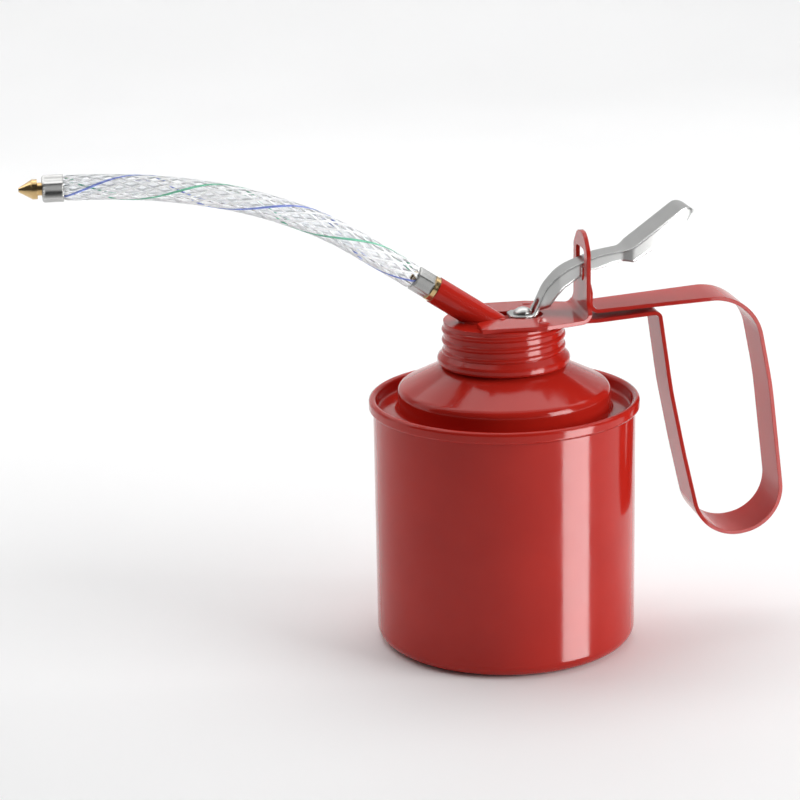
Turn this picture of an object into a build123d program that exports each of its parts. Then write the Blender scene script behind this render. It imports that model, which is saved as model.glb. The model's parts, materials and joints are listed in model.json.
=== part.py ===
"""Pump oil can: a drawn steel can with a screw cap that carries a lever pump, a strap handle and a hose spout.

Millimetres, +Z up. The origin is the centre of the can's bottom. +X points to the handle, -X to the spout,
and the plane y = 0 halves the can, the handle, the lever and the spout.
"""
from build123d import *
from math import cos, radians, sin, sqrt
import os

# ---- can ----
can_r = 48.0                # outside of the drawn wall
sheet = 0.6                 # tinplate of the can and its cover
can_corner_r = 4.6          # rounded bottom corner
can_top_z = 90.8            # raw top edge, inside the rolled rim
rim_r = 49.6                # outside of the rolled rim
rim_low_z = 88.0
rim_top_z = 92.2
trough_z = 87.2             # floor of the groove inside the rim
shoulder_r = 39.0
shoulder_z = 96.0
neck_r = 20.75
neck_root_z = 105.2
neck_top_z = 118.4
neck_lip_r = 18.6           # the mouth, inside the turned-in lip

# ---- rolled thread ----
pitch = 4.0
thread_start_z = 107.6      # height of the crest at angle 0
thread_turns = 3.25        # out of the flare and on to the top edge
neck_turns = 1.5
neck_bead_r = 1.0           # section radius of the neck's thread bead
neck_bead_out = 0.75        # how far it stands out

# ---- screw cap ----
cap_top_z = 120.7
cap_sheet = 0.7
cap_r = 21.9                # outside, between the thread crests
cap_crest = 0.65            # how far a crest stands out
cap_edge_r = 2.0
flare_r = 24.2
flare_top_z = 110.0
flare_low_z = 105.0

# ---- bracket ----
plate = 1.5                 # pressed steel of the bracket
plate_half_y = 19.9
plate_left_x = -11.5
plate_taper_x = 12.0
upright_x = 30.0            # rear face of the upright
upright_half_y = 10.5
upright_foot_half_y = 13.6  # at the bend
upright_top_z = 152.1
foot_top_z = 123.8          # where the foot narrows to the upright
arch_h = 6.3
slot_half_y = 6.4
slot_low_z = 134.5
slot_top_z = 146.2
tongue_half_y = 3.2

# ---- handle strap ----
strap_sheet = 1.4
strap_end_half_y = 8.0      # at the welded ends
strap_grip_half_y = 10.3    # in the hand
tab_top_z = 133.0
loop_r = 16.9               # outside of the round lower bend

# ---- lever ----
fulcrum = (upright_x - plate / 2, 139.45)   # x, z of the rounded top of the bracket's tongue
lever_sheet = 1.1
lever_half_y = 4.9
lever_grip_half_y = 7.7
lever_end_x = 69.6
toe_half_y = 5.8
toe_top_z = 122.65
toe_slot_half_y = 2.25
toe_slot_top_z = 127.4

# ---- pump ----
rod_x = 7.2                 # the pump stands off the can's axis, under the lever's toe
rod_r = 1.95
head_r = 3.5                # domed rivet head
head_h = 2.1
head_low_z = toe_top_z + 0.2
bore_r = 7.5
cylinder_wall = 1.0
cylinder_low_z = 60.0
head_flange_r = 9.2
head_flange_low_z = 114.2
head_low_spigot_z = 110.8
piston_low_z = 72.0
cup_base = 1.2
nut_top_z = 81.5
spring_r = 5.2
spring_wire_r = 0.6
spring_turns = 6
tube_low_z = 6.0

# ---- spout ----
spout_angle = 34.0          # degrees above the horizontal
spout_foot = (-6.3, 120.4)  # x, z of the boss's axis near the cap
boss_r = 5.1
boss_wall = 0.9
delivery_r = 2.2
boss_end = 22.8             # distances along the axis from spout_foot
collar_end = 24.6
hose_mouth = 31.5
hose_start = 25.0
hose_first_bend = 46.0
hose_r = 4.5
hose_bore_r = 2.3
can_crimp_r = 3.5           # the hose's outside where the can-end ferrule squeezes it
tip_crimp_r = 3.9
nozzle_z = 177.0
ferrule_mouth_x = -155.4
ferrule_front_x = -162.9
band_x = -164.4             # start of the nozzle's band, end of its neck
cone_x = -166.3
tip_x = -170.9

# The hose's route, x and z in the plane y = 0: straight out of the can-end ferrule, over, and level into the nozzle.
hose_route = [
    (spout_foot[0] - hose_start * cos(radians(spout_angle)), spout_foot[1] + hose_start * sin(radians(spout_angle))),
    (spout_foot[0] - hose_first_bend * cos(radians(spout_angle)),
     spout_foot[1] + hose_first_bend * sin(radians(spout_angle))),
    (-64.3, 158.9),
    (-87.5, 168.0),
    (-109.0, 173.4),
    (-137.5, nozzle_z),
    (-162.0, nozzle_z),
]


# ---- helpers ----
def at_side(face):
    """Stand a face drawn in x and z up into the plane y = 0."""
    return Plane.XZ * face


def turned(*points):
    """A solid of revolution about Z from an outline of (radius, z) points."""
    return revolve(at_side(make_face(Polyline(*points, close=True))), Axis.Z)


def ring(outer, inner, low, high, x=0.0):
    """A plain tube or washer on a vertical axis at x."""
    tube = Pos(x, 0, (low + high) / 2) * Cylinder(outer, high - low)
    if inner:
        tube -= Pos(x, 0, (low + high) / 2) * Cylinder(inner, high - low + 2)
    return tube


def ball(radius, x, z):
    return Pos(x, 0, z) * Sphere(radius)


def bent_strip(points, radii, thickness, side=Side.RIGHT):
    """The side outline of bent sheet: one face's line, with bends, and the thickness to one side of it."""
    return make_face(offset(FilletPolyline(*points, radius=radii), thickness, side=side))


def across(face, half_width):
    """Give a side outline a width on both sides of y = 0."""
    return extrude(at_side(face), half_width, both=True)


def upright_prism(points, low, high, holes=()):
    """A prism along Z from a plan outline given for y >= 0 and mirrored."""
    outline = list(points) + [(x, -y) for x, y in reversed(points) if y > 0]
    prism = Pos(0, 0, low) * extrude(make_face(Polyline(*outline, close=True)), high - low)
    for hole in holes:
        prism -= hole
    return prism


def helical_bead(section_r, centre_r, turns):
    """A round bead wound on a cylinder about Z, with the cap's thread's phase."""
    path = Helix(pitch, pitch * turns, centre_r, center=(0, 0, thread_start_z))
    return sweep(Plane(path @ 0, z_dir=path % 0) * Circle(section_r), path, is_frenet=True)


def spout_axis(distance):
    """The plane across the spout's axis, this far out from spout_foot."""
    angle = radians(spout_angle)
    origin = (spout_foot[0] - distance * cos(angle), 0, spout_foot[1] + distance * sin(angle))
    return Plane(origin, x_dir=(0, 1, 0), z_dir=(-cos(angle), 0, sin(angle)))


def on_spout(outer, inner, start, end):
    """A tube on the spout's axis between two distances."""
    tube = extrude(spout_axis(start) * Circle(outer), end - start)
    if inner:
        tube -= extrude(spout_axis(start - 1) * Circle(inner), end - start + 2)
    return tube


def on_nozzle(outer, inner, start, end):
    """A tube on the nozzle's axis between two x values, start being nearer the can."""
    plane = Plane((start, 0, nozzle_z), x_dir=(0, 1, 0), z_dir=(-1, 0, 0))
    tube = extrude(plane * Circle(outer), start - end)
    if inner:
        tube -= Pos(1, 0, 0) * extrude(plane * Circle(inner), start - end + 2)
    return tube


# ---- can ----
def can_body():
    outside = Pos(0, 0, can_top_z / 2) * Cylinder(can_r, can_top_z)
    outside = fillet(outside.edges().sort_by(Axis.Z)[0], can_corner_r)
    inside = Pos(0, 0, can_top_z / 2 + sheet) * Cylinder(can_r - sheet, can_top_z)
    inside = fillet(inside.edges().sort_by(Axis.Z)[0], can_corner_r - sheet)
    return outside - inside


def can_cover():
    """Neck, cone, shoulder, groove and the edge rolled over the can's rim, as one pressed sheet."""
    groove_r = can_r - 2 * sheet
    line = [
        (neck_lip_r, neck_top_z),
        (neck_r, neck_top_z),
        (neck_r, neck_root_z),
        (shoulder_r, shoulder_z),
        (shoulder_r, trough_z),
        (groove_r, trough_z),
        (groove_r, rim_top_z),
        (rim_r, rim_top_z),
        (rim_r, rim_low_z),
        (can_r + 0.15, rim_low_z),
    ]
    cover = revolve(at_side(bent_strip(line, [0.8, 1.5, 3.0, 1.5, 1.2, 1.35, 1.35, 0.9], sheet)), Axis.Z)
    bead = helical_bead(neck_bead_r, neck_r + neck_bead_out - neck_bead_r, neck_turns)
    bead = Pos(0, 0, pitch / 2) * Rot(0, 0, 180) * bead
    return cover + bead - ring(neck_r - sheet, 0, neck_root_z + 2, neck_top_z - sheet - 0.2)


# ---- cap ----
def cap_core(radius, top_z, edge_r, flare_outer_r, crest):
    """The solid bounded by one face of the cap: a domed-edge cylinder with a flare and a helical crest."""
    line = Polyline(
        (0, top_z), (radius, top_z), (radius, flare_top_z), (flare_outer_r - 0.35, flare_low_z + 2.9),
        (flare_outer_r, flare_low_z + 2.1), (flare_outer_r, flare_low_z + 0.8), (flare_outer_r - 0.5, flare_low_z),
        (0, flare_low_z), close=True)
    core = revolve(at_side(make_face(line)), Axis.Z)
    section_r = 2 * crest
    bead = helical_bead(section_r, radius + crest - section_r, thread_turns)
    envelope = Pos(0, 0, (top_z + flare_low_z) / 2) * Cylinder(radius + crest + 0.01, top_z - flare_low_z)
    envelope = fillet(envelope.edges().sort_by(Axis.Z)[-1], edge_r + 0.3)
    return core + (bead & envelope)


def screw_cap():
    outside = cap_core(cap_r, cap_top_z, cap_edge_r, flare_r, cap_crest)
    inside = cap_core(cap_r - cap_sheet, cap_top_z - cap_sheet, cap_edge_r - cap_sheet, flare_r - cap_sheet, cap_crest)
    gland_hole = ring(2.9, 0, cap_top_z - 3, cap_top_z + 3, rod_x)
    tube_hole = on_spout(delivery_r, 0, -6, 6)
    return outside - inside - gland_hole - tube_hole


# ---- bracket and handle ----
def bracket():
    """An angle plate: a forked foot welded to the cap and an upright with a slot and the lever's tongue."""
    side = bent_strip([(plate_left_x, cap_top_z), (upright_x, cap_top_z), (upright_x, upright_top_z)], 4.0, plate, Side.LEFT)
    foot_line = [
        (plate_left_x, 0), (plate_left_x, plate_half_y), (plate_taper_x, plate_half_y), (22.0, 16.6),
        (upright_x, upright_foot_half_y), (upright_x + 1, upright_foot_half_y), (upright_x + 1, 0),
    ]
    foot = upright_prism(foot_line, cap_top_z - 1, foot_top_z)
    front = Pos(upright_x - 10, 0, 0) * extrude(Plane.YZ * upright_front(), 12)
    plate_solid = across(side, plate_half_y + 1) & (foot + front)
    throat = [(plate_left_x - 1, 0), (plate_left_x - 1, 9.6), (-5.5, boss_r + 0.5), (rod_x, boss_r + 0.5), (rod_x, 0)]
    plate_solid -= upright_prism(throat, cap_top_z - 1, foot_top_z)
    plate_solid -= ring(7.4, 0, cap_top_z - 1, foot_top_z, rod_x)
    knife = Pos(fulcrum[0], 0, fulcrum[1]) * Rot(90, 0, 0) * Cylinder(plate / 2, 2 * tongue_half_y)
    return plate_solid + knife


def upright_front():
    """The upright's outline from the front: waisted above the bend, an arched top, and the slot with the tongue."""
    shoulder = upright_top_z - arch_h
    foot_half = upright_foot_half_y
    outline = FilletPolyline(
        (-foot_half, 118), (-foot_half, foot_top_z), (-upright_half_y, foot_top_z + 3), (-upright_half_y, shoulder),
        (-4.6, upright_top_z), (4.6, upright_top_z),
        (upright_half_y, shoulder), (upright_half_y, foot_top_z + 3), (foot_half, foot_top_z), (foot_half, 118),
        radius=[1.4, 4.0, 4.0, 9.0, 9.0, 4.0, 4.0, 1.4])
    face = make_face([outline, Line((-foot_half, 118), (foot_half, 118))])
    slot_h = slot_top_z - slot_low_z
    slot = Pos(0, slot_low_z + slot_h / 2) * RectangleRounded(2 * slot_half_y, slot_h, 2.4)
    tongue_h = fulcrum[1] - slot_low_z + 1
    tongue = Pos(0, slot_low_z - 1 + tongue_h / 2) * Rectangle(2 * tongue_half_y, tongue_h)
    return face - (slot - tongue)


def handle_strap():
    """One tapered strap: a tab on the upright, over the hand, round the lower bend and back under the bracket's foot."""
    line = [
        (upright_x + strap_sheet, tab_top_z), (upright_x + strap_sheet, 124.2), (91.5, 128.0), (98.7, 93.0), (105.4, 38.5),
        (73.2, 32.7), (64.9, 68.0), (59.9, 92.0), (55.5, 121.3), (33.0, cap_top_z - strap_sheet), (23.4, cap_top_z - strap_sheet),
    ]
    side = bent_strip(line, [2.2, 19.0, 150.0, loop_r, loop_r, 150.0, 150.0, 1.4, 20.0], strap_sheet, Side.RIGHT)
    width = upright_prism([(20, 0), (20, strap_end_half_y), (31, strap_end_half_y), (75, strap_grip_half_y),
                           (110, strap_grip_half_y), (110, 0)], 30, 140)
    strap = across(side, strap_grip_half_y + 1) & width
    for side_sign in (-1, 1):
        clip = Pos(upright_x, side_sign * strap_end_half_y, tab_top_z) * Rot(45, 0, 0) * Box(8, 3.6, 3.6)
        strap -= clip
    return strap


# ---- lever ----
def lever_top():
    """The line of the lever's upper face: toe, steep neck, arm, raised grip and turned-down end."""
    return FilletPolyline(
        (1.9, toe_top_z), (10.7, toe_top_z), (15.2, 132.3), (21.2, 138.5), (34.0, 143.35), (44.6, 145.0),
        (66.4, 161.0), (lever_end_x, 158.3), radius=[1.4, 12.0, 20.0, 15.0, 8.0, 4.0])


def lever_plan():
    """The lever from above."""
    half = [
        (1.9, 3.0), (4.0, 5.2), (7.2, toe_half_y), (9.8, 5.2), (12.0, 4.0), (15.0, 4.0), (20.0, lever_half_y),
        (43.0, lever_half_y), (46.5, lever_grip_half_y),
        (lever_end_x + 0.3, lever_grip_half_y),
    ]
    outline = half + [(x, -y) for x, y in reversed(half)]
    face = make_face(Polyline(*outline, close=True))
    return fillet(face.vertices().sort_by(Axis.X)[-2:], 5.5)


def lever_flange():
    """The side outline of the lever's two flanges, taller than the lever; the upper face trims it."""
    return make_face(Polyline(
        (11.0, 124.2), (12.9, 124.2), (16.2, 125.1), (19.2, 129.4), (21.8, 132.2), (28.2, 136.4), (28.2, 139.5),
        (30.1, 139.5), (30.1, 137.8), (34.7, 138.7), (40.3, 140.4), (43.6, 141.0), (46.6, 140.9), (53.3, 145.1),
        (64.0, 152.2), (66.4, 155.1), (68.2, 157.6), (80.0, 157.6), (80.0, 170.0), (5.0, 170.0), (5.0, 124.2),
        close=True))


def lever():
    top = lever_top()
    plan = lever_plan()
    outside = Pos(0, 0, 110) * extrude(plan, 60)
    inside = Pos(0, 0, 100) * extrude(offset(plan, -lever_sheet), 80)
    below = make_face([top, Polyline(top @ 1, (lever_end_x, 100), (1.9, 100), top @ 0)])
    web = across(make_face(offset(top, lever_sheet, side=Side.RIGHT)), 12) & outside
    skirt = across(lever_flange(), 12) & across(below, 12) & (outside - inside)
    slot_line = [(rod_x, 0), (rod_x, toe_slot_half_y), (14.0, toe_slot_half_y), (14.0, 0)]
    slot = upright_prism(slot_line, toe_top_z - 3, toe_slot_top_z) + ring(toe_slot_half_y, 0, toe_top_z - 3, toe_top_z + 1, rod_x)
    return web + skirt - slot


# ---- pump ----
def cap_gasket():
    return ring(20.9, 16.9, neck_top_z, cap_top_z - cap_sheet)


def gland_nut():
    return ring(3.55, rod_r + 0.08, cap_top_z, cap_top_z + 0.6, rod_x) + ring(2.9, rod_r + 0.08, 115.4, cap_top_z, rod_x)


def rod_packing():
    return ring(3.3, rod_r + 0.04, 113.6, 115.4, rod_x)


def pump_head():
    """The plug of the cylinder, hung under the cap: packing space, and an angled port up to the spout."""
    top_z = cap_top_z - cap_sheet
    head = ring(head_flange_r, 0, head_flange_low_z, top_z, rod_x)
    head += ring(bore_r, 0, head_low_spigot_z, head_flange_low_z, rod_x)
    head -= ring(3.3, 0, 113.6, top_z + 1, rod_x)
    head -= ring(rod_r + 0.08, 0, head_low_spigot_z - 1, 114, rod_x)
    head -= on_spout(delivery_r, 0, -5.5, 5)
    head -= on_spout(1.4, 0, -9.0, 0)
    return head - ring(1.4, 0, head_low_spigot_z - 1, 115.8, 1.6)


def pump_cylinder():
    return ring(bore_r + cylinder_wall, bore_r, cylinder_low_z, head_flange_low_z, rod_x)


def piston_rod():
    """The rod with its riveted domed head above the lever's toe."""
    dome_r = (head_r ** 2 + head_h ** 2) / (2 * head_h)
    dome = ball(dome_r, rod_x, head_low_z + head_h - dome_r) & ring(head_r, 0, head_low_z, head_low_z + head_h + 1, rod_x)
    return dome + ring(rod_r, 0, piston_low_z + 7.2, head_low_z + 0.5, rod_x)


def piston():
    """A disc and a hub; oil passes the transfer ball, the chamber round the rod's end and four ports."""
    body = ring(bore_r - 0.3, 0, piston_low_z, piston_low_z + 6, rod_x)
    body += ring(4.6, 0, piston_low_z + 6, piston_low_z + 17, rod_x)
    body -= ring(1.8, 0, piston_low_z - 1, piston_low_z + 3, rod_x)
    body -= ring(3.1, 0, piston_low_z + 2.5, piston_low_z + 13, rod_x)
    body -= ring(rod_r, 0, piston_low_z + 12, piston_low_z + 18, rod_x)
    for angle in (0, 90):
        body -= Pos(rod_x, 0, piston_low_z + 11.3) * Rot(90, 0, angle) * Cylinder(1.1, 12)
    return body


def piston_cup():
    low = piston_low_z + 6
    return ring(bore_r - 0.05, 4.6, low, low + cup_base, rod_x) + ring(bore_r - 0.05, 6.6, low, low + 4, rod_x)


def piston_nut():
    low = piston_low_z + 6 + cup_base
    return ring(6.3, 4.6, low, nut_top_z, rod_x)


def return_spring():
    coil_h = head_low_spigot_z - nut_top_z - 2 * spring_wire_r
    path = Helix(coil_h / spring_turns, coil_h, spring_r, center=(rod_x, 0, nut_top_z + spring_wire_r))
    wire = sweep(Plane(path @ 0, z_dir=path % 0) * Circle(spring_wire_r), path, is_frenet=True)
    return wire & ring(bore_r - 0.3, 0, nut_top_z, head_low_spigot_z, rod_x)


def transfer_ball():
    return ball(2.3, rod_x, piston_low_z + 2.5 + sqrt(2.3 ** 2 - 1.8 ** 2) + 0.02)


def foot_valve():
    """The cylinder's lower plug with the inlet seat and a nipple for the suction tube."""
    body = ring(bore_r, 0, cylinder_low_z, cylinder_low_z + 3, rod_x)
    body += ring(bore_r + cylinder_wall, 0, cylinder_low_z - 3, cylinder_low_z, rod_x)
    body += ring(3.5, 0, cylinder_low_z - 11, cylinder_low_z - 3, rod_x)
    body -= ring(2.0, 0, cylinder_low_z - 12, cylinder_low_z, rod_x)
    return body - ring(3.3, 0, cylinder_low_z - 2, cylinder_low_z + 4, rod_x)


def ball_cage():
    plate_solid = ring(bore_r, 0, cylinder_low_z + 3, cylinder_low_z + 4.2, rod_x)
    for angle in range(0, 360, 90):
        plate_solid -= Pos(rod_x, 0, 0) * Rot(0, 0, angle) * ring(0.9, 0, cylinder_low_z + 2, cylinder_low_z + 6, 2.2)
    return plate_solid


def inlet_ball():
    return ball(2.5, rod_x, cylinder_low_z - 2 + sqrt(2.5 ** 2 - 2.0 ** 2) + 0.02)


def suction_tube():
    return ring(4.5, 3.5, tube_low_z, cylinder_low_z - 3, rod_x)


def strainer():
    """A perforated cup on the foot of the suction tube."""
    cup = ring(5.3, 4.5, tube_low_z - 2, tube_low_z + 6, rod_x) + ring(5.3, 0, tube_low_z - 2, tube_low_z - 1.2, rod_x)
    for angle in range(0, 360, 60):
        cup -= Pos(rod_x, 0, 0) * Rot(0, 0, angle) * ring(0.6, 0, tube_low_z - 3, tube_low_z - 0.5, 2.6)
    return cup


# ---- spout ----
def spout_boss():
    tube = on_spout(boss_r, boss_r - boss_wall, -14, boss_end)
    return tube - Pos(0, 0, cap_top_z - 15) * Box(60, 30, 30)


def delivery_tube():
    return on_spout(delivery_r, 1.4, -5.5, 16.5)


def spout_adapter():
    body = on_spout(boss_r - boss_wall, 0, 14.0, boss_end) + on_spout(4.7, 0, boss_end, collar_end)
    body += on_spout(hose_bore_r, 0, collar_end, hose_mouth + 1)
    return body - on_spout(1.5, 0, 13, hose_mouth + 3) - on_spout(delivery_r, 0, 13, 16.5)


def hose_ferrule_can():
    hexagon = spout_axis(collar_end) * Rot(0, 0, 30) * RegularPolygon(4.0, 6, major_radius=False)
    return extrude(hexagon, hose_mouth - collar_end) - on_spout(can_crimp_r, 0, collar_end - 1, hose_mouth + 1)


def hose_line():
    """The hose's centre line, with as round a bend at every point as the runs allow."""
    points = [Vector(x, 0, z) for x, z in hose_route]
    radii = []
    for before, here, after in zip(points, points[1:], points[2:]):
        half_turn = radians((here - before).get_angle(after - here) / 2)
        radii.append(0.45 * min((here - before).length, (after - here).length) * cos(half_turn) / sin(half_turn))
    print("hose bend radii, mm:", [round(radius) for radius in radii])
    return FilletPolyline(*points, radius=radii)


def hose():
    path = hose_line()
    section = Plane(path @ 0, z_dir=path % 0) * (Circle(hose_r) - Circle(hose_bore_r))
    tube = sweep(section, path)
    print("hose volume against section times length:", round(tube.volume, 1), round(section.area * path.length, 1))
    print("hose length, mm:", round(path.length, 1))
    tube -= on_spout(hose_r + 2, can_crimp_r, hose_start - 2, hose_mouth)
    return tube - on_nozzle(hose_r + 2, tip_crimp_r, ferrule_mouth_x, ferrule_front_x)


def hose_ferrule_tip():
    plane = Plane((ferrule_mouth_x, 0, nozzle_z), x_dir=(0, 1, 0), z_dir=(-1, 0, 0))
    ferrule = extrude(plane * Rot(0, 0, 30) * RegularPolygon(4.85, 6), ferrule_mouth_x - ferrule_front_x)
    ferrule &= fillet(on_nozzle(4.9, 0, ferrule_mouth_x, ferrule_front_x).edges().sort_by(Axis.X)[0], 1.4)
    ferrule -= on_nozzle(tip_crimp_r, 0, ferrule_mouth_x + 1, ferrule_front_x + 0.9)
    return ferrule - on_nozzle(hose_bore_r - 0.05, 0, ferrule_mouth_x, ferrule_front_x - 1)


def nozzle_tail():
    """The barb in the hose, a neck through the ferrule, and a stub in the nozzle's tip."""
    tail = on_nozzle(hose_bore_r, 0, ferrule_mouth_x - 0.5, -162.0) + on_nozzle(hose_bore_r - 0.05, 0, -162.0, band_x)
    tail += on_nozzle(1.6, 0, band_x, cone_x - 0.2)
    return tail - on_nozzle(1.0, 0, ferrule_mouth_x, cone_x - 2)


def nozzle_tip():
    outline = [(0, 0), (3.5, 0), (3.5, 1.9), (3.3, 2.1), (0.7, band_x - tip_x), (0, band_x - tip_x)]
    cone = Pos(band_x, 0, nozzle_z) * Rot(0, -90, 0) * turned(*outline)
    return cone - on_nozzle(0.6, 0, band_x, tip_x - 1) - on_nozzle(1.6, 0, band_x + 1, cone_x - 0.2)


os.makedirs("parts", exist_ok=True)
makers = [
    can_body, can_cover, cap_gasket, screw_cap, bracket, handle_strap, spout_boss, spout_adapter, delivery_tube,
    hose_ferrule_can, hose, hose_ferrule_tip, nozzle_tail, nozzle_tip, lever, piston_rod, piston, piston_cup,
    piston_nut, transfer_ball, return_spring, gland_nut, rod_packing, pump_head, pump_cylinder, foot_valve,
    ball_cage, inlet_ball, suction_tube, strainer,
]
for make in makers:
    export_step(make(), f"parts/{make.__name__}.step")
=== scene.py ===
import json
import math

import bpy
from mathutils import Matrix, Vector


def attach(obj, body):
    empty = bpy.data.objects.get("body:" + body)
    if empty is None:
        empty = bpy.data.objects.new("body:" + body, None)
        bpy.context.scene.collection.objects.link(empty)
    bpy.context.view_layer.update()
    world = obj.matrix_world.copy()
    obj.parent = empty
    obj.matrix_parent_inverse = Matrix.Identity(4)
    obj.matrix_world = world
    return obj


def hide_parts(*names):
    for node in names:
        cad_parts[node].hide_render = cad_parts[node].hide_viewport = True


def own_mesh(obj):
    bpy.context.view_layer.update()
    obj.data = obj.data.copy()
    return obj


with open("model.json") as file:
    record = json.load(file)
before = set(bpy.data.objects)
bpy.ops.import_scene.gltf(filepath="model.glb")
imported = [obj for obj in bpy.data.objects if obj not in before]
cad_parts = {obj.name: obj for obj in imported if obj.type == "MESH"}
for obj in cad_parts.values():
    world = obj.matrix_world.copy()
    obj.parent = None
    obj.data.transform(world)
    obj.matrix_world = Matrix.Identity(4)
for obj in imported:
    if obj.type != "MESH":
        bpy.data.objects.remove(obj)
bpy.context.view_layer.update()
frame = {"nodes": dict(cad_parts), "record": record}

nodes = frame["nodes"]
scene = bpy.context.scene
scene.view_settings.view_transform = "Standard"


# ---- camera ----
def make_camera():
    """A long lens from the spout's side of the front, 16 degrees above the level and rolled a little."""
    azimuth, elevation, roll = math.radians(9.0), math.radians(16.06), math.radians(-1.146)
    level_share = math.cos(elevation)
    ahead = Vector((math.sin(azimuth) * level_share, math.cos(azimuth) * level_share, -math.sin(elevation)))
    level = Vector((math.cos(azimuth), -math.sin(azimuth), 0.0))
    up = level.cross(ahead)
    right = math.cos(roll) * level + math.sin(roll) * up
    top = -math.sin(roll) * level + math.cos(roll) * up
    data = bpy.data.cameras.new("camera")
    data.sensor_width = 36.0
    data.lens = 110.83
    data.clip_end = 20.0
    camera = bpy.data.objects.new("camera", data)
    scene.collection.objects.link(camera)
    place = Matrix((right, top, -ahead)).transposed().to_4x4()
    place.translation = Vector((-0.17327, -0.85047, 0.34057))
    camera.matrix_world = place
    scene.camera = camera


make_camera()


# ---- materials ----
def new_material(name):
    material = bpy.data.materials.new(name)
    material.use_nodes = True
    tree = material.node_tree
    shader = next(n for n in tree.nodes if n.type == "BSDF_PRINCIPLED")
    return material, tree, shader


def add(tree, kind, **values):
    """A shader node with some of its sockets or properties set."""
    node = tree.nodes.new(kind)
    for key, value in values.items():
        if key in node.inputs:
            node.inputs[key].default_value = value
        else:
            setattr(node, key, value)
    return node


def noise(tree, scale, detail=2.0, roughness=0.5, stretch=(1, 1, 1)):
    """Noise over the object's own coordinates, in repeats per metre."""
    place = add(tree, "ShaderNodeTexCoord")
    mapping = add(tree, "ShaderNodeMapping")
    mapping.inputs["Scale"].default_value = stretch
    tree.links.new(place.outputs["Object"], mapping.inputs["Vector"])
    texture = add(tree, "ShaderNodeTexNoise", Scale=scale, Detail=detail, Roughness=roughness)
    tree.links.new(mapping.outputs["Vector"], texture.inputs["Vector"])
    return texture.outputs["Fac"]


def ramp(tree, source, low, high, from_low=0.3, from_high=0.7):
    """Maps a 0..1 value to a range of roughness."""
    node = add(tree, "ShaderNodeMapRange")
    node.inputs["From Min"].default_value = from_low
    node.inputs["From Max"].default_value = from_high
    node.inputs["To Min"].default_value = low
    node.inputs["To Max"].default_value = high
    tree.links.new(source, node.inputs["Value"])
    return node.outputs["Result"]


def two_colours(tree, source, first, second):
    """Blends two colours over the middle of a 0..1 value."""
    blend_from, blend_to = 0.35, 0.65
    node = add(tree, "ShaderNodeValToRGB")
    node.color_ramp.elements[0].position = blend_from
    node.color_ramp.elements[0].color = (*first, 1)
    node.color_ramp.elements[1].position = blend_to
    node.color_ramp.elements[1].color = (*second, 1)
    tree.links.new(source, node.inputs["Fac"])
    return node.outputs["Color"]


def rounded_bumps(tree, shader, layers, edge=0.0):
    """Bump layers of (source, height in metres, strength) over edges rounded by a bevel of that radius."""
    normal = None
    if edge:
        normal = add(tree, "ShaderNodeBevel", samples=4, Radius=edge).outputs["Normal"]
    for source, height, strength in layers:
        bump = add(tree, "ShaderNodeBump", Strength=strength, Distance=height)
        tree.links.new(source, bump.inputs["Height"])
        if normal is not None:
            tree.links.new(normal, bump.inputs["Normal"])
        normal = bump.outputs["Normal"]
    tree.links.new(normal, shader.inputs["Normal"])


def red_enamel(name="red_enamel_look", ior=1.37):
    """Sprayed gloss enamel: a slightly cloudy red with a faint orange peel and softened edges."""
    material, tree, shader = new_material(name)
    colour = two_colours(tree, noise(tree, 40, 3), (0.450, 0.016, 0.009), (0.485, 0.019, 0.011))
    tree.links.new(colour, shader.inputs["Base Color"])
    tree.links.new(ramp(tree, noise(tree, 90, 3), 0.10, 0.16), shader.inputs["Roughness"])
    shader.inputs["IOR"].default_value = ior
    orange_peel = (noise(tree, 420, 2), 0.00004, 0.30)
    ripple = (noise(tree, 60, 1), 0.0001, 0.22)
    rounded_bumps(tree, shader, [orange_peel, ripple], edge=0.0004)
    return material


nickel_greys = ((0.44, 0.44, 0.43), (0.52, 0.52, 0.51))
steel_greys = ((0.55, 0.55, 0.57), (0.62, 0.62, 0.64))


def nickel(name="nickel_look", roughness=(0.17, 0.28), greys=nickel_greys, edge=0.0011):
    """Bright plating with a fine grain."""
    material, tree, shader = new_material(name)
    shader.inputs["Metallic"].default_value = 1.0
    tree.links.new(two_colours(tree, noise(tree, 70, 4), *greys), shader.inputs["Base Color"])
    tree.links.new(ramp(tree, noise(tree, 160, 5, 0.6), *roughness), shader.inputs["Roughness"])
    grain = (noise(tree, 900, 2, 0.5, (0.15, 1, 0.15)), 0.00002, 0.15)
    ripple = (noise(tree, 120, 1), 0.00006, 0.2)
    rounded_bumps(tree, shader, [grain, ripple], edge)
    return material


def steel():
    return nickel("bright_steel_look", (0.12, 0.22), steel_greys, 0.0001)


def sideways_share(tree, bend_radius):
    """How far a surface faces along the object's own Y, from 0 to 1, with its bends rounded."""
    bevel = add(tree, "ShaderNodeBevel", samples=6, Radius=bend_radius)
    turn = add(tree, "ShaderNodeVectorTransform", vector_type="NORMAL")
    turn.convert_from = "WORLD"
    turn.convert_to = "OBJECT"
    tree.links.new(bevel.outputs["Normal"], turn.inputs["Vector"])
    parts = add(tree, "ShaderNodeSeparateXYZ")
    tree.links.new(turn.outputs["Vector"], parts.inputs["Vector"])
    share = add(tree, "ShaderNodeMath", operation="ABSOLUTE")
    tree.links.new(parts.outputs["Y"], share.inputs[0])
    return share.outputs["Value"]


def grey_bands(tree, source, stops):
    """Greys along a 0..1 value, from a list of (place, grey)."""
    bands = add(tree, "ShaderNodeValToRGB")
    for i, (place, grey) in enumerate(stops):
        stop = bands.color_ramp.elements[i] if i < 2 else bands.color_ramp.elements.new(place)
        stop.position = place
        stop.color = (grey, grey, grey * 0.985, 1)
    tree.links.new(source, bands.inputs["Fac"])
    return bands.outputs["Color"]


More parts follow.
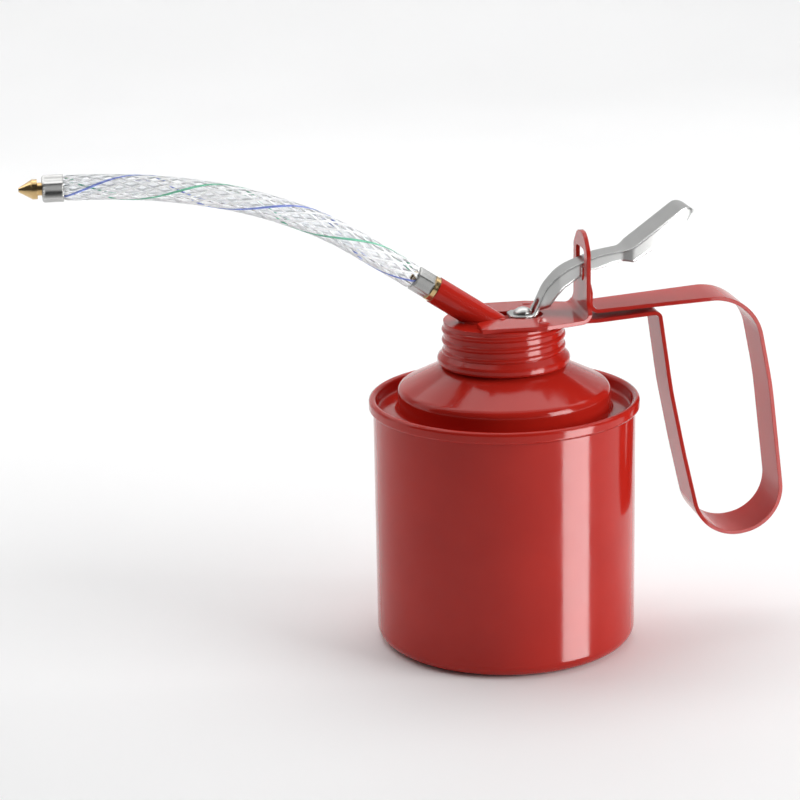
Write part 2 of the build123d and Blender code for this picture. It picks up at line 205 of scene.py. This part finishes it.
def multiplied(tree, first, second):
    first_socket, second_socket, result_socket = 6, 7, 2
    mix = add(tree, "ShaderNodeMix", data_type="RGBA", blend_type="MULTIPLY")
    mix.inputs["Factor"].default_value = 1.0
    tree.links.new(first, mix.inputs[first_socket])
    tree.links.new(second, mix.inputs[second_socket])
    return mix.outputs[result_socket]


def pressed_nickel():
    """Nickel over pressed sheet: satin on the upper face and polished flanks in roughness, with greys
    painted by which way a surface faces: a painted highlight strip and a painted dark reflection line along
    the fold, and a painted lighter sheen on the flanks.
    """
    material, tree, shader = new_material("lever_look")
    shader.inputs["Metallic"].default_value = 1.0
    bend_radius = 0.0013
    sideways = sideways_share(tree, bend_radius)
    upper_face = [(0.10, 0.40), (0.32, 0.46)]
    # Painted light: these stops paint a highlight strip (0.92) and a dark reflection line (0.26) where the
    # upper face turns down.
    bend_painted_glint_and_dark_line = [(0.45, 0.92), (0.60, 0.80), (0.70, 0.26), (0.80, 0.40)]
    # Painted sheen: the flank greys are set lighter than the upper face.
    flank_painted_sheen = [(0.88, 0.72), (0.97, 0.60)]
    bands = grey_bands(tree, sideways, upper_face + bend_painted_glint_and_dark_line + flank_painted_sheen)
    cloud = two_colours(tree, noise(tree, 70, 4), (0.93, 0.93, 0.93), (1.0, 1.0, 1.0))
    tree.links.new(multiplied(tree, bands, cloud), shader.inputs["Base Color"])
    tree.links.new(ramp(tree, sideways, 0.30, 0.15, 0.3, 0.8), shader.inputs["Roughness"])
    grain = (noise(tree, 900, 2, 0.5, (0.15, 1, 0.15)), 0.00002, 0.2)
    ripple = (noise(tree, 120, 1), 0.00006, 0.15)
    rounded_bumps(tree, shader, [grain, ripple], bend_radius)
    return material


def brass():
    """Turned brass, with faint rings about the nozzle's axis."""
    material, tree, shader = new_material("brass_look")
    shader.inputs["Metallic"].default_value = 1.0
    colour = two_colours(tree, noise(tree, 110, 4), (0.62, 0.42, 0.19), (0.71, 0.52, 0.27))
    tree.links.new(colour, shader.inputs["Base Color"])
    tree.links.new(ramp(tree, noise(tree, 300, 4), 0.14, 0.26), shader.inputs["Roughness"])
    turning = (noise(tree, 2600, 1, 0.5, (1, 0.03, 0.03)), 0.00002, 0.3)
    rounded_bumps(tree, shader, [turning], edge=0.00025)
    return material


def dull(name, first, second, roughness, scale):
    """Rubber and leather."""
    material, tree, shader = new_material(name)
    tree.links.new(two_colours(tree, noise(tree, scale, 5), first, second), shader.inputs["Base Color"])
    spread = 0.08
    patches = ramp(tree, noise(tree, scale * 2, 4), roughness - spread, roughness + spread)
    tree.links.new(patches, shader.inputs["Roughness"])
    rounded_bumps(tree, shader, [(noise(tree, scale * 3, 3), 0.0001, 0.4)])
    return material


def clear_plastic():
    """Soft clear tubing with a cool tint, a trace cloudy."""
    material, tree, shader = new_material("clear_hose_look")
    colour = two_colours(tree, noise(tree, 60, 3), (0.96, 0.975, 0.99), (0.99, 0.995, 1.0))
    tree.links.new(colour, shader.inputs["Base Color"])
    tree.links.new(ramp(tree, noise(tree, 140, 3), 0.03, 0.08), shader.inputs["Roughness"])
    shader.inputs["Transmission Weight"].default_value = 0.97
    shader.inputs["IOR"].default_value = 1.17
    rounded_bumps(tree, shader, [(noise(tree, 200, 2), 0.00004, 0.2)])
    return material


def yarn(name, first, second):
    material, tree, shader = new_material(name)
    tree.links.new(two_colours(tree, noise(tree, 2500, 3), first, second), shader.inputs["Base Color"])
    tree.links.new(ramp(tree, noise(tree, 900, 2), 0.5, 0.7), shader.inputs["Roughness"])
    rounded_bumps(tree, shader, [(noise(tree, 6000, 2, 0.5, (0.3, 1, 1)), 0.00004, 0.5)])
    return material


looks = {
    "red_enamel": red_enamel(),
    "nickel_plate": nickel(),
    "brass": brass(),
    "clear_hose": clear_plastic(),
    "oil_rubber": dull("oil_rubber_look", (0.02, 0.02, 0.02), (0.045, 0.045, 0.045), 0.55, 300),
    "cup_leather": dull("cup_leather_look", (0.16, 0.08, 0.04), (0.30, 0.17, 0.09), 0.6, 500),
    "bright_steel": steel(),
}


def dress(obj, material):
    obj.data.materials.clear()
    obj.data.materials.append(material)


for part in frame["record"]["subparts"]:
    dress(nodes[part["node"]], looks[part["material_slot"]])

dress(nodes["lever"], pressed_nickel())
dress(nodes["handle_strap"], red_enamel("strap_look", ior=1.22))


# ---- hose ----
hose_route = [
    (-0.027026, 0, 0.134380), (-0.044436, 0, 0.146123), (-0.0643, 0, 0.1589), (-0.0875, 0, 0.1680),
    (-0.1090, 0, 0.1734), (-0.1375, 0, 0.1770), (-0.1620, 0, 0.1770),
]
hose_outer = 0.0045
hose_bore = 0.00232
crimped_at_can = 0.0035
crimped_at_tip = 0.0039
yarn_circle = 0.0037
yarn_lead = 0.063
yarn_size = 0.00030


def route_points(points):
    """The points of the smooth NURBS line through a route."""
    data = bpy.data.curves.new("hose_line", "CURVE")
    data.dimensions = "3D"
    data.resolution_u = 24
    spline = data.splines.new("NURBS")
    spline.points.add(len(points) - 1)
    for point, place in zip(spline.points, points):
        point.co = (*place, 1.0)
    spline.order_u = 3
    spline.use_endpoint_u = True
    helper = bpy.data.objects.new("hose_line", data)
    scene.collection.objects.link(helper)
    bpy.context.view_layer.update()
    mesh = bpy.data.meshes.new_from_object(helper)
    line = [vertex.co.copy() for vertex in mesh.vertices]
    bpy.data.meshes.remove(mesh)
    bpy.data.objects.remove(helper)
    bpy.data.curves.remove(data)
    return line


def distances(line):
    total = [0.0]
    for here, there in zip(line, line[1:]):
        total.append(total[-1] + (there - here).length)
    return total


line = route_points(hose_route)
along = distances(line)
hose_length = along[-1]
can_mouth = 0.0065
tip_mouth = hose_length - 0.0066


def hose_at(distance):
    """The hose's centre and its two cross directions (out of the hose's plane, and up in it)."""
    tiny = 1e-12
    distance = min(max(distance, 0.0), hose_length)
    i = min(max(k for k in range(len(along)) if along[k] <= distance + tiny), len(along) - 2)
    share = (distance - along[i]) / (along[i + 1] - along[i])
    centre = line[i].lerp(line[i + 1], share)
    ahead = (line[min(i + 2, len(line) - 1)] - line[max(i - 1, 0)]).normalized()
    side = Vector((0, -1, 0))
    return centre, side, side.cross(ahead).normalized()


def smooth_step(value):
    value = min(max(value, 0.0), 1.0)
    return value * value * (3 - 2 * value)


def hose_radius(distance):
    """The full radius, squeezed inside the two ferrules, with a soft shoulder at each mouth."""
    shoulder = 0.0012
    past_can = smooth_step((distance - can_mouth) / shoulder)
    before_tip = smooth_step((tip_mouth - distance) / shoulder)
    at_can = crimped_at_can + (hose_outer - crimped_at_can) * past_can
    at_tip = crimped_at_tip + (hose_outer - crimped_at_tip) * before_tip
    return min(at_can, at_tip)


def mesh_object(name, vertices, faces, material):
    mesh = bpy.data.meshes.new(name)
    mesh.from_pydata([tuple(v) for v in vertices], [], faces)
    mesh.validate()
    mesh.polygons.foreach_set("use_smooth", [True] * len(mesh.polygons))
    obj = bpy.data.objects.new(name, mesh)
    scene.collection.objects.link(obj)
    mesh.materials.append(material)
    return obj


def turn_angles(count):
    return [2 * math.pi * k / count for k in range(count)]


def closed_rings(rings):
    """Faces that join rings of equal count, each a closed loop, into one closed torus-like skin."""
    count = len(rings[0])
    vertices = [v for ring in rings for v in ring]
    faces = []
    for i in range(len(rings)):
        j = (i + 1) % len(rings)
        for k in range(count):
            n = (k + 1) % count
            faces.append((i * count + k, j * count + k, j * count + n, i * count + n))
    return vertices, faces


def capped_rings(rings, first=0):
    """Faces that join rings of equal count into a rod with flat ends, numbered from the first vertex."""
    count = len(rings[0])
    last = first + (len(rings) - 1) * count
    faces = []
    for start in range(first, last, count):
        for k in range(count):
            n = (k + 1) % count
            faces.append((start + k, start + count + k, start + count + n, start + n))
    faces.append(tuple(first + k for k in range(count)))
    faces.append(tuple(last + k for k in range(count))[::-1])
    return faces


def make_hose():
    """The clear tube, with its bore."""
    steps = 260
    angles = turn_angles(48)
    outside, inside = [], []
    for i in range(steps + 1):
        distance = hose_length * i / steps
        centre, side, up = hose_at(distance)
        for rings, radius in ((outside, hose_radius(distance)), (inside, hose_bore)):
            rings.append([centre + radius * (math.cos(a) * side + math.sin(a) * up) for a in angles])
    vertices, faces = closed_rings(outside + inside[::-1])
    tube = mesh_object("hose_tube", vertices, faces, looks["clear_hose"])
    return tube


def yarn_rings(phase, way):
    """Flat-oval sections along one yarn that starts at a phase in turns and winds one way or the other."""
    steps, end_gap, near = 420, 0.0005, 0.0004
    skin, crossing = 0.0005, 0.00012
    thin, wide = 0.6 * yarn_size, 1.7 * yarn_size
    rings = []
    for i in range(steps + 1):
        distance = end_gap + (hose_length - 2 * end_gap) * i / steps
        angle = 2 * math.pi * (phase + way * distance / yarn_lead)
        centre, side, up = hose_at(distance)
        ahead = (hose_at(distance + near)[0] - hose_at(distance - near)[0]).normalized()
        reach = min(yarn_circle, hose_radius(distance) - skin) + crossing * way
        outward = math.cos(angle) * side + math.sin(angle) * up
        middle = centre + reach * outward
        across = ahead.cross(outward)
        run = (ahead + across * way * 2 * math.pi * reach / yarn_lead).normalized()
        flat = run.cross(outward).normalized()
        rings.append([middle + thin * math.sin(a) * outward + wide * math.cos(a) * flat
                      for a in turn_angles(8)])
    return rings


def make_yarns(name, turns, material):
    """Yarns wound on the hose's inner layer: turns lists (phase, direction) pairs."""
    vertices, faces = [], []
    for phase, way in turns:
        rings = yarn_rings(phase, way)
        faces += capped_rings(rings, first=len(vertices))
        vertices += [v for ring in rings for v in ring]
    obj = mesh_object(name, vertices, faces, material)
    return obj


starts = 8
tracer_phase = -0.08
white = [(k / starts + tracer_phase, 1) for k in range(starts) if k not in (0, starts // 2)]
white += [((k + 0.5) / starts, -1) for k in range(starts)]
white_look = yarn("yarn_white", (0.96, 0.96, 0.97), (1.0, 1.0, 1.0))
blue_look = yarn("yarn_blue", (0.14, 0.20, 0.60), (0.22, 0.30, 0.74))
green_look = yarn("yarn_green", (0.10, 0.46, 0.28), (0.18, 0.58, 0.38))

hose = make_hose()
yarns = [
    make_yarns("hose_yarns", white, white_look),
    make_yarns("hose_tracer_blue", [(tracer_phase, 1)], blue_look),
    make_yarns("hose_tracer_green", [(tracer_phase + 0.5, 1)], green_look),
]
for piece in [hose] + yarns:
    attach(piece, "cap")
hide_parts("hose")


# ---- return spring ----
def make_spring():
    """The coil under the cylinder's head, with a fixed upper end; it is drawn at one length and does not
    move with the rod.
    """
    low, high, radius, wire, turns = 0.0821, 0.1102, 0.0052, 0.0006, 6
    rod_x = 0.0072
    steps = 360
    up = Vector((0, 0, 1))
    rings = []
    for i in range(steps + 1):
        a = 2 * math.pi * turns * i / steps
        outward = Vector((math.cos(a), math.sin(a), 0))
        middle = Vector((rod_x, 0, low + (high - low) * i / steps)) + radius * outward
        rings.append([middle + wire * (math.cos(b) * outward + math.sin(b) * up) for b in turn_angles(10)])
    vertices = [v for ring in rings for v in ring]
    return mesh_object("spring_coil", vertices, capped_rings(rings), looks["bright_steel"])


spring = make_spring()
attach(spring, "cap")
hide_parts("return_spring")
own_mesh(spring)


# ---- welds ----
plate_top = 0.1222
seam_z = 0.12072


def boss_weld():
    """The uneven brazed seam where the boss's slanted tube meets the cap in an ellipse."""
    centre_x, half_x, half_y = -0.00674, 0.00920, 0.00518
    facing_x, facing_y = 1 / 9.12, 1 / 5.1
    rings = []
    for a in turn_angles(140):
        size = 0.00058 + 0.00010 * math.sin(7 * a) + 0.00006 * math.sin(17 * a + 1)
        outward = Vector((math.cos(a) * facing_x, math.sin(a) * facing_y, 0)).normalized()
        middle = Vector((centre_x + half_x * math.cos(a), half_y * math.sin(a), seam_z))
        rings.append([middle + size * (math.cos(b) * outward + Vector((0, 0, 1.1 * math.sin(b))))
                      for b in turn_angles(10)])
    return closed_rings(rings)


def weld_drop(place, size, seed):
    """A flattened, slightly uneven drop of weld metal under the enamel."""
    rows, count = 10, 20
    middle = Vector(place)
    vertices, faces = [], []
    for j in range(rows + 1):
        b = math.pi * j / rows
        for a in turn_angles(count):
            swell = 1 + 0.10 * math.sin(2 * a + seed) + 0.06 * math.sin(3 * a + 2 * seed) * math.sin(b)
            across = swell * math.sin(b)
            x = size[0] * across * math.cos(a)
            y = size[1] * across * math.sin(a)
            vertices.append(middle + Vector((x, y, size[2] * math.cos(b))))
    for j in range(rows):
        for k in range(count):
            n = (k + 1) % count
            faces.append((j * count + k, (j + 1) * count + k, (j + 1) * count + n, j * count + n))
    return vertices, faces


drops = [
    ((-0.0016, -0.0060, plate_top - 0.0002), (0.0013, 0.0010, 0.0007)),
    ((-0.0016, 0.0060, plate_top - 0.0002), (0.0012, 0.0010, 0.0006)),
    ((0.0120, -0.0150, plate_top - 0.0001), (0.0021, 0.0016, 0.0005)),
    ((0.0118, 0.0152, plate_top - 0.0001), (0.0020, 0.0017, 0.0005)),
    ((-0.0104, -0.0186, plate_top - 0.0001), (0.0014, 0.0011, 0.0004)),
    ((0.0300, -0.0081, 0.1291), (0.0007, 0.0007, 0.0021)),
    ((0.0300, 0.0081, 0.1291), (0.0007, 0.0007, 0.0021)),
]
seams = [("boss_weld", boss_weld())]
seams += [(f"weld_drop_{i}", weld_drop(place, size, 1.7 * i)) for i, (place, size) in enumerate(drops)]
for name, (vertices, faces) in seams:
    piece = mesh_object(name, vertices, faces, looks["red_enamel"])
    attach(piece, "cap")


# ---- stage and light ----
def area_light(name, place, target, size, power):
    data = bpy.data.lights.new(name, "AREA")
    data.shape = "RECTANGLE"
    data.size, data.size_y = size
    data.energy = power
    light = bpy.data.objects.new(name, data)
    scene.collection.objects.link(light)
    light.location = place
    light.visible_camera = False
    light.rotation_euler = (Vector(target) - Vector(place)).to_track_quat("-Z", "Y").to_euler()
    return light


def make_stage():
    """A pale floor, a hair under the can, that curves up into a backdrop."""
    front, fold, curve, height, half_width, gap = -3.0, 1.2, 0.6, 3.0, 4.0, 0.0004
    material, tree, shader = new_material("floor_look")
    pale = two_colours(tree, noise(tree, 3, 2), (0.90, 0.90, 0.90), (0.93, 0.93, 0.93))
    tree.links.new(pale, shader.inputs["Base Color"])
    shader.inputs["Roughness"].default_value = 0.7
    steps = 12
    profile = [(front, 0.0), (fold, 0.0)]
    for i in range(1, steps + 1):
        a = math.pi / 2 * i / steps
        profile.append((fold + curve * math.sin(a), curve - curve * math.cos(a)))
    profile.append((fold + curve, height))
    vertices = [(x, y, z - gap) for y, z in profile for x in (-half_width, half_width)]
    faces = [(2 * i, 2 * i + 1, 2 * i + 3, 2 * i + 2) for i in range(len(profile) - 1)]
    floor = mesh_object("floor", vertices, faces, material)
    return floor


def keep_off(light, obj):
    """Stops one object from being lit by a light and from shading it."""
    linked = bpy.data.collections.new(light.name + "_sees")
    linked.objects.link(obj)
    linked.collection_objects[0].light_linking.link_state = "EXCLUDE"
    light.light_linking.receiver_collection = linked
    light.light_linking.blocker_collection = linked


def make_lights(floor):
    """A narrow card for the can's tall highlight, a key with no highlight, and soft light all round."""
    can_low, can_high, behind = (0.0, 0.0, 0.055), (0.0, 0.0, 0.08), (0.0, 0.15, 0.0)
    card = area_light("card_right", (0.134, -0.130, 0.055), can_low, (0.080, 0.25), 0.78)
    card.visible_diffuse = False
    keep_off(card, floor)
    key = area_light("key_right", (1.05, -0.64, 0.50), can_high, (0.8, 0.7), 13.0)
    key.visible_glossy = False
    area_light("fill_left", (-1.0, 0.35, 0.45), can_high, (0.5, 0.9), 1.4)
    area_light("top", (0.0, 0.45, 1.2), behind, (2.6, 1.8), 15)
    area_light("backdrop", (0.0, 0.6, 1.5), (0.0, 1.6, 0.4), (3.4, 1.2), 16)


def make_world():
    world = bpy.data.worlds.new("world")
    world.use_nodes = True
    background = world.node_tree.nodes["Background"]
    background.inputs["Color"].default_value = (0.85, 0.87, 0.90, 1)
    background.inputs["Strength"].default_value = 0.08
    scene.world = world


make_lights(make_stage())
make_world()
